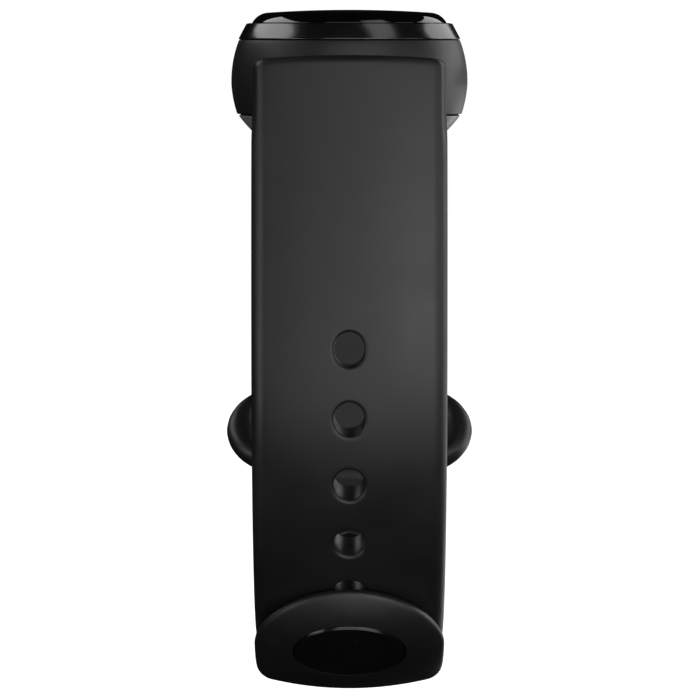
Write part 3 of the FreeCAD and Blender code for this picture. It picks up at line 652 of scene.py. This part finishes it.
def keeper_loop():
    """The oval loop at the end of the front arm, rounded all over."""
    outer = all_quarters(oval_outline(*KEEPER_OVAL, QUARTER_STEPS))
    inner = all_quarters(box_outline(*KEEPER_SLOT, QUARTER_STEPS))
    place = keeper_frame()
    section_steps = 20
    rings = []
    for far, near in zip(outer, inner):
        far = Vector(far)
        near = Vector(near)
        middle = (far + near) / 2
        reach = (far - near) / 2
        ring = []
        for step in range(section_steps):
            angle = 2 * math.pi * step / section_steps
            out = math.copysign(abs(math.cos(angle)) ** KEEPER_FULLNESS, math.cos(angle))
            up = math.copysign(abs(math.sin(angle)) ** KEEPER_FULLNESS, math.sin(angle))
            spot = middle + reach * out
            ring.append(tuple(place @ Vector((spot.x, -up * KEEPER_THICKNESS / 2, spot.y))))
        rings.append(ring)
    rings.append(rings[0])
    shape = loft(rings, ends=False)
    piece("keeper_loop", shape, rubber, "strap", ["strap_keeper_loop"])


def stud_arm_stations():
    """The back arm's crest below its rise: inner layer, slip through the keeper loop, outer layer."""
    inner = LOOP - THICKNESS / 2
    outer = OUTER - THICKNESS / 2
    leave = KEEPER_ANGLE + math.degrees(math.acos(inner / KEEPER_RADIUS))
    run = math.sqrt(outer**2 - inner**2 - 2 * CROSSING * (outer - inner))
    meet = leave - math.degrees(math.atan(run / (inner - CROSSING)))
    bend_centre = on_loop(meet, outer - CROSSING)
    tip_start = TIP_REACH - TIP_STRETCH
    arcs = [
        ((0.0, LOOP_Z), LOOP, 180.0, leave),
        (bend_centre, CROSSING + THICKNESS / 2, leave, meet),
        ((0.0, LOOP_Z), OUTER, meet, STUD_ANGLE - math.degrees(math.asin(tip_start / OUTER))),
    ]
    stations = []
    for centre, radius, start, stop in arcs:
        length = math.radians(start - stop) * radius
        steps = max(int(length / STATION_STEP), 3)
        if stations:
            # the straight run, or nothing where two arcs meet
            y, z, angle = stations[-1]
            next_y, next_z = on_loop(start, radius, centre)
            gap = math.hypot(next_y - y, next_z - z)
            pieces = int(gap / STATION_STEP)
            for step in range(1, pieces):
                share = step / pieces
                stations.append((y + (next_y - y) * share, z + (next_z - z) * share, angle))
        for step in range(0 if not stations or gap > 0.01 else 1, steps + 1):
            angle = start + (stop - start) * step / steps
            stations.append((*on_loop(angle, radius, centre), angle))
    return stations


def tip_point(x, along, depth):
    """A point of the tip: along is measured in the tip's own flat plan, from the cap's centre."""
    angle = STUD_ANGLE - math.degrees(math.asin(along / OUTER))
    return sunk((*on_loop(angle, OUTER), angle), x, depth)


def levelled(x, depth, across):
    """The depth of a point of the turned end. Round the cap its crown falls only towards the strap's
    sides, and at the rim all round. x is the point's distance from the middle of the half-round end,
    and across is its distance from the strap's middle line."""
    fall = crown_drop(x)
    share = (THICKNESS - depth) / (THICKNESS - fall) * (1 - smoothstep(LEVEL_REACH, HALF_WIDTH, x))
    return depth - (fall - crown_drop(across)) * share


def stud_arm():
    """The back arm with its half-round tip, in one mesh."""
    rings = root_rings(back_station, even_section(), 0.0)[:-1]
    for station in stud_arm_stations():
        share = smoothstep(-HINGE_ANGLE, -TIP_WIDENED, -station[2])
        section = even_section(
            edge_reach=EDGE_REACH + (TIP_EDGE_REACH - EDGE_REACH) * share,
            inner_round=INNER_ROUND + (TIP_INNER_ROUND - INNER_ROUND) * share,
        )
        rings.append([sunk(station, x, depth) for x, depth in section])
    arm = loft(rings, ends=False)
    arm[1].append(tuple(range(len(rings[0])))[::-1])
    # the half-round end turns half of the section about the middle of the tip
    half = half_section(0.0, TIP_EDGE_REACH, TIP_INNER_ROUND, FINE_STEPS, FINE_STEPS)
    stretch = 1 + TIP_STRETCH / HALF_WIDTH
    end_rings = []
    for step in range(TIP_TURNS + 1):
        angle = math.pi * step / TIP_TURNS
        ring = []
        for x, depth in half:
            across = x * math.cos(angle)
            along = TIP_REACH - TIP_STRETCH + x * math.sin(angle) * stretch
            ring.append(tip_point(across, along, levelled(x, depth, across)))
        end_rings.append(ring)
    end = loft(end_rings, closed=False, ends=False)
    item = piece("stud_arm", joined(arm, end), rubber,
                 stands_for=["strap_stud_arm", "strap_stud_tip"])
    carve(item, [seat_cutter()])
    smooth(item)
    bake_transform(item)


def seat_cutter():
    """The shape of the cap's seat."""
    radius = CAP_RADIUS + CAP_GAP
    floor = OUTER - CAP_THICKNESS
    outline = [(0.0, floor), (radius, floor), (radius, OUTER + 1.0), (0.0, OUTER + 1.0)]
    points, faces = turned(outline, local_frame(0.0, LOOP_Z, STUD_ANGLE), CAP_TURNS)
    return piece("seat_cutter", (points, faces), rubber)


def stud():
    """The glossy cap with its steep bevelled rim, and the pin under it."""
    place = local_frame(0.0, LOOP_Z, STUD_ANGLE)
    floor = OUTER - CAP_THICKNESS
    face_radius = CAP_RADIUS - BEVEL_WIDTH
    face_edge = OUTER - CAP_DOME + math.sqrt(CAP_DOME**2 - face_radius**2)
    cap = profile([
        (0.0, floor),
        (CAP_RADIUS, floor),
        (CAP_RADIUS, face_edge - BEVEL_DROP),
        (face_radius, face_edge, CAP_DOME),
        (0.0, OUTER),
    ], rounding=0.05, steps=24, closed=False)
    piece("cap", turned(cap, place, CAP_TURNS), gloss, "stud_tip", ["stud_cap"], sharp=75)
    pin = profile([
        (0.0, floor),
        (PIN_RADIUS, floor),
        (PIN_RADIUS, PIN_SHOULDER),
        (PIN_WAIST, PIN_SHOULDER - 0.17),
        (PIN_WAIST, PIN_HEAD + 0.2),
        (PIN_RADIUS, PIN_HEAD),
        (PIN_RADIUS, PIN_LOW + 0.31),
        (PIN_END, PIN_LOW),
        (0.0, PIN_LOW),
    ], rounding=0.12, closed=False)
    piece("pin", turned(pin, place, PIN_TURNS), pin_plastic, "stud_tip", ["stud_pin"])


def cradle():
    """The soft ring that holds the capsule."""
    top = CRADLE_TOP
    low = top - CRADLE_HEIGHT
    ring = profile([
        (CRADLE_INSIDE, low),
        (CRADLE_INSIDE + 1.2, low, CRADLE_BEND),
        (CRADLE_INSIDE + 1.68, top - 3.6, CRADLE_BEND),
        (CRADLE_INSIDE + 1.05, top),
        (CRADLE_INSIDE, top),
    ], rounding=0.12, steps=10)
    piece("cradle", pill_swept(ring), rubber, "strap", ["strap_cradle"], sharp=60)


# Capsule


def glass():
    """The cover glass, with a nearly flat face and a rounded edge."""
    crown = GLASS_CREST - GLASS_SHOULDER
    crown_radius = (GLASS_FACE**2 + crown**2) / (2 * crown)
    outline = profile([
        (PILL_CORE, CRADLE_TOP + GLASS_LOW),
        (GLASS_RADIUS, CRADLE_TOP + GLASS_LOW, GLASS_EDGE_BEND),
        (GLASS_FACE, CRADLE_TOP + GLASS_SHOULDER, crown_radius),
        (PILL_CORE, CRADLE_TOP + GLASS_CREST - PILL_CORE**2 / (2 * crown_radius)),
    ], rounding=0.05, steps=14, closed=False)
    shape = pill_swept(outline, turns=PILL_TURNS, runs=PILL_RUNS, closed=False)
    piece("glass", shape, glass_black, "capsule", ["cover_glass"])


def frame_rim():
    """The sloping glossy frame under the glass, with its wall down into the cradle."""
    outline = profile([
        (FRAME_INSIDE, CRADLE_TOP - FRAME_LOW),
        (FRAME_BODY, CRADLE_TOP - FRAME_LOW),
        (FRAME_BODY, CRADLE_TOP),
        (FRAME_RADIUS - 0.16, CRADLE_TOP),
        (FRAME_RADIUS, CRADLE_TOP + 0.12),
        (FRAME_RADIUS - 0.65, CRADLE_TOP + GLASS_LOW - 0.05),
        (FRAME_RADIUS - 0.9, CRADLE_TOP + GLASS_LOW),
        (GLASS_RADIUS - 0.04, CRADLE_TOP + GLASS_LOW - 0.1),
        (FRAME_INSIDE, CRADLE_TOP + GLASS_LOW - 0.2),
    ], rounding=0.05, steps=6)
    shape = pill_swept(outline, turns=PILL_TURNS, runs=PILL_RUNS)
    piece("frame_rim", shape, frame_gloss, "capsule", ["top_frame"])


def lower_shell():
    """The satin shell, whose bowed flanks show under the cradle."""
    outline = profile([
        (PILL_CORE, CRADLE_TOP - SHELL_LOW),
        (SHELL_FACE, CRADLE_TOP - SHELL_LOW, SHELL_BEND),
        (SHELL_WIDE, CRADLE_TOP - SHELL_STEP),
        (FRAME_BODY, CRADLE_TOP - SHELL_STEP),
        (FRAME_BODY, CRADLE_TOP - SHELL_TOP),
        (PILL_CORE, CRADLE_TOP - SHELL_TOP),
    ], rounding=0.15, steps=16, closed=False)
    shape = pill_swept(outline, turns=PILL_TURNS, runs=PILL_RUNS, closed=False)
    piece("lower_shell", shape, shell_satin, "capsule", ["bottom_shell"])


# Materials


def add_node(tree, kind, inputs=(), **settings):
    """A new shader node with its input values and its settings."""
    node = tree.nodes.new(kind)
    for name, value in settings.items():
        setattr(node, name, value)
    for name, value in dict(inputs).items():
        node.inputs[name].default_value = value
    return node


def moulded(name, colour, roughness, grain, bump, mottle=0.1, swing=0.05, wear=0.0, **shader_sizes):
    """A procedural finish: fine grain in the bump, broad mottling of colour and roughness, and edges
    that wear paler. grain is the size of the grain in millimetres."""
    material = bpy.data.materials.new(name)
    material.use_nodes = True
    tree = material.node_tree
    shader = tree.nodes["Principled BSDF"]
    for socket, value in shader_sizes.items():
        shader.inputs[socket.replace("_", " ")].default_value = value
    place = add_node(tree, "ShaderNodeTexCoord")
    broad = add_node(tree, "ShaderNodeTexNoise", {"Scale": 160.0, "Detail": 4.0, "Roughness": 0.6})
    fine_scale = 1 / (grain * MM)
    fine = add_node(tree, "ShaderNodeTexNoise", {"Scale": fine_scale, "Detail": 2.0, "Roughness": 0.55})
    for noise in (broad, fine):
        tree.links.new(place.outputs["Object"], noise.inputs["Vector"])
    ramp = add_node(tree, "ShaderNodeValToRGB")
    low, high = ramp.color_ramp.elements
    low.position = 0.3
    high.position = 0.7
    low.color = (*(channel * (1 - mottle) for channel in colour), 1)
    high.color = (*(channel * (1 + mottle) for channel in colour), 1)
    tree.links.new(broad.outputs["Fac"], ramp.inputs["Fac"])
    tint = ramp.outputs["Color"]
    if wear:
        edges = add_node(tree, "ShaderNodeNewGeometry")
        worn = add_node(tree, "ShaderNodeMapRange", {"From Min": 0.52, "From Max": 0.62, "To Max": wear})
        tree.links.new(edges.outputs["Pointiness"], worn.inputs["Value"])
        mix = add_node(tree, "ShaderNodeMix", data_type="RGBA")
        pale = tuple(min(channel * 1.6 + 0.02, 1.0) for channel in colour)
        mix.inputs["B"].default_value = (*pale, 1)
        tree.links.new(worn.outputs["Result"], mix.inputs["Factor"])
        tree.links.new(tint, mix.inputs["A"])
        tint = mix.outputs["Result"]
    tree.links.new(tint, shader.inputs["Base Color"])
    dull = add_node(tree, "ShaderNodeMapRange", {
        "From Min": 0.3, "From Max": 0.7, "To Min": roughness - swing, "To Max": roughness + swing,
    })
    tree.links.new(broad.outputs["Fac"], dull.inputs["Value"])
    tree.links.new(dull.outputs["Result"], shader.inputs["Roughness"])
    relief = add_node(tree, "ShaderNodeBump", {"Strength": bump, "Distance": grain * MM * 0.5})
    tree.links.new(fine.outputs["Fac"], relief.inputs["Height"])
    tree.links.new(relief.outputs["Normal"], shader.inputs["Normal"])
    return material


rubber = moulded("strap_rubber", (0.009, 0.009, 0.0093), 0.43, grain=0.07, bump=0.1, wear=0.1)
gloss = moulded("cap_gloss", (0.004, 0.004, 0.004), 0.2, grain=0.6, bump=0.02, swing=0.02, wear=0.1)
pin_plastic = moulded("pin_plastic", (0.012, 0.012, 0.013), 0.3, grain=0.3, bump=0.1)
glass_black = moulded("cover_glass", (0.002, 0.002, 0.0024), 0.045, grain=2.5, bump=0.003, swing=0.015,
                      IOR=1.8, Coat_Weight=0.3, Coat_Roughness=0.02)
frame_gloss = moulded("frame_gloss", (0.005, 0.005, 0.006), 0.17, grain=0.7, bump=0.02, swing=0.03,
                      wear=0.12, IOR=2.0)
shell_satin = moulded("shell_satin", (0.2, 0.2, 0.205), 0.3, grain=0.2, bump=0.1, wear=0.15)

FINISHES = {
    "seal_rubber": moulded("seal_rubber", (0.05, 0.05, 0.05), 0.7, grain=0.2, bump=0.3),
    "clear_film": moulded("clear_film", (0.75, 0.78, 0.8), 0.08, grain=0.8, bump=0.02),
    "display": moulded("display", (0.008, 0.008, 0.01), 0.12, grain=0.8, bump=0.02),
    "flex_film": moulded("flex_film", (0.5, 0.22, 0.05), 0.3, grain=0.3, bump=0.08),
    "carrier_plastic": moulded("carrier_plastic", (0.03, 0.03, 0.03), 0.5, grain=0.15, bump=0.25),
    "board": moulded("board", (0.02, 0.13, 0.06), 0.32, grain=0.25, bump=0.15, mottle=0.2),
    "steel": moulded("steel", (0.6, 0.6, 0.6), 0.28, grain=0.1, bump=0.15, Metallic=1.0),
    "chip": moulded("chip", (0.02, 0.02, 0.022), 0.5, grain=0.08, bump=0.25),
    "capacitor": moulded("capacitor", (0.42, 0.33, 0.23), 0.4, grain=0.1, bump=0.15),
    "gold": moulded("gold", (0.85, 0.6, 0.25), 0.22, grain=0.1, bump=0.1, wear=0.2, Metallic=1.0),
    "battery_foil": moulded("battery_foil", (0.72, 0.72, 0.74), 0.3, grain=0.5, bump=0.2, Metallic=1.0),
    "led": moulded("led", (0.14, 0.65, 0.2), 0.15, grain=0.3, bump=0.05),
    "detector": moulded("detector", (0.03, 0.03, 0.06), 0.15, grain=0.3, bump=0.03),
    "lens": moulded("lens", (0.012, 0.012, 0.014), 0.07, grain=1.5, bump=0.01, Coat_Weight=0.3),
    "magnet": moulded("magnet", (0.5, 0.5, 0.52), 0.25, grain=0.15, bump=0.1, Metallic=1.0),
    "tungsten": moulded("tungsten", (0.3, 0.3, 0.31), 0.4, grain=0.1, bump=0.25, Metallic=1.0),
}

NODE_FINISHES = {
    "seal_rubber": ["glass_gasket", "shell_seal", "contact_seals", "motor_boot"],
    "clear_film": ["optical_adhesive"],
    "display": ["display_panel"],
    "flex_film": ["display_flex"],
    "carrier_plastic": ["inner_carrier", "light_baffle"],
    "board": ["main_board", "sensor_board", "battery_guard_board"],
    "steel": ["board_screws", "shield_can", "motor_can", "motor_shaft"],
    "chip": ["radio_chip", "memory_chip", "motion_sensor"],
    "capacitor": ["small_parts", "antenna"],
    "gold": ["charge_contacts"],
    "battery_foil": ["battery"],
    "led": ["green_leds"],
    "detector": ["photodiodes"],
    "lens": ["sensor_lens"],
    "magnet": ["charge_magnets"],
    "tungsten": ["motor_weight"],
}


def dress_inner_parts():
    """The frame's own sub-parts that stay get procedural finishes."""
    for finish, names in NODE_FINISHES.items():
        for name in names:
            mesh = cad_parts[name].data
            mesh.materials.clear()
            mesh.materials.append(FINISHES[finish])


# Studio


# name, azimuth from the front to the right, elevation, width and height in metres, watts
SOFTBOXES = (
    ("front_wrap", 14, -10, 1.1, 0.62, 2.8),
    ("front_sheen", 28, 5, 0.3, 0.35, 0.62),
    ("front_high", 8, 31, 0.9, 0.15, 0.85),
    ("left_front", -62, -2, 0.35, 0.5, 1.15),
    ("right_front", 68, 6, 0.3, 0.4, 0.5),
    ("right_side", 108, 0, 0.3, 0.4, 0.75),
    ("right_low", 142, -12, 0.5, 0.25, 0.5),
    ("right_back", 127, 23, 0.55, 0.42, 1.1),
    ("left_back", -108, 38, 0.66, 0.3, 1.1),
    ("key", 44, 55, 0.26, 0.3, 0.17),
)
LIGHT_DISTANCE = 0.7
LIGHT_TARGET = (0.0, 0.0, 0.01)
AMBIENT = 0.004

# surroundings: the floor lies so far below the loop that the opened stud arm stays clear of it
TIP_SWING = 17.0
FLOOR_HALF = 3000.0
SKY_RADIUS = 2600.0
SKY_LOW = -10.0
SKY_STEP = 8.2
SKY_ROWS = 13
SKY_TURNS = 48

# camera, in metres
CAMERA_PLACE = (0.00005, -0.422, 0.030)
CAMERA_TARGET = (0.00005, 0.0, 0.0034)
CAMERA_LENS = 252.9


def aimed(name, data, place, target):
    """A light or a camera at a place, looking at a target."""
    item = bpy.data.objects.new(name, data)
    item.location = place
    item.rotation_euler = (Vector(target) - Vector(place)).to_track_quat("-Z", "Y").to_euler()
    bpy.context.scene.collection.objects.link(item)
    return item


def softbox(name, azimuth, elevation, width, height, watts):
    """A soft rectangular light on a sphere round the object."""
    data = bpy.data.lights.new(name, "AREA")
    data.shape = "RECTANGLE"
    data.size = width
    data.size_y = height
    data.energy = watts
    turn = math.radians(azimuth)
    lift = math.radians(elevation)
    towards = Vector((math.sin(turn) * math.cos(lift), -math.cos(turn) * math.cos(lift), math.sin(lift)))
    aimed(name, data, Vector(LIGHT_TARGET) + towards * LIGHT_DISTANCE, LIGHT_TARGET)


def surroundings(name, shape):
    """A white surface that glows, which the object neither mirrors nor is lit by."""
    points, faces = shape
    mesh = bpy.data.meshes.new(name)
    mesh.from_pydata([Vector(point) * MM for point in points], [], faces)
    item = bpy.data.objects.new(name, mesh)
    bpy.context.scene.collection.objects.link(item)
    finish = bpy.data.materials.new(name)
    finish.use_nodes = True
    shader = finish.node_tree.nodes["Principled BSDF"]
    shader.inputs["Base Color"].default_value = (0.8, 0.8, 0.8, 1)
    shader.inputs["Roughness"].default_value = 0.9
    shader.inputs["Emission Color"].default_value = (1, 1, 1, 1)
    shader.inputs["Emission Strength"].default_value = 1.0
    mesh.materials.append(finish)
    item.visible_glossy = False
    item.visible_diffuse = False
    item.visible_shadow = False


def sky_ring(height):
    """A level ring of the dome, at that angle above the horizon."""
    radius = SKY_RADIUS * math.cos(height)
    level = SKY_RADIUS * math.sin(height)
    turns = [2 * math.pi * step / SKY_TURNS for step in range(SKY_TURNS)]
    return [(radius * math.cos(turn), radius * math.sin(turn), level) for turn in turns]


def studio():
    """The faint ambient light, the pale floor, the dome behind everything, and the softboxes."""
    scene = bpy.context.scene
    scene.view_settings.view_transform = "Standard"
    world = bpy.data.worlds.new("studio")
    scene.world = world
    world.use_nodes = True
    back = world.node_tree.nodes["Background"]
    back.inputs["Color"].default_value = (1, 1, 1, 1)
    back.inputs["Strength"].default_value = AMBIENT
    low = cad_box[0].z / MM - TIP_SWING
    half = FLOOR_HALF
    corners = [(-half, -half, low), (half, -half, low), (half, half, low), (-half, half, low)]
    surroundings("floor", (corners, [(0, 1, 2, 3)]))
    rings = [sky_ring(math.radians(SKY_LOW + row * SKY_STEP)) for row in range(SKY_ROWS)]
    surroundings("white_dome", loft(rings, ends=False))
    for row in SOFTBOXES:
        softbox(*row)


def camera():
    """A long lens in front of the band, a little above it."""
    data = bpy.data.cameras.new("camera")
    data.lens = CAMERA_LENS
    data.sensor_width = 36.0
    data.clip_start = 0.01
    bpy.context.scene.camera = aimed("camera", data, CAMERA_PLACE, CAMERA_TARGET)


holes_arm()
keeper_loop()
stud_arm()
stud()
cradle()
glass()
frame_rim()
lower_shell()
dress_inner_parts()
studio()
camera()
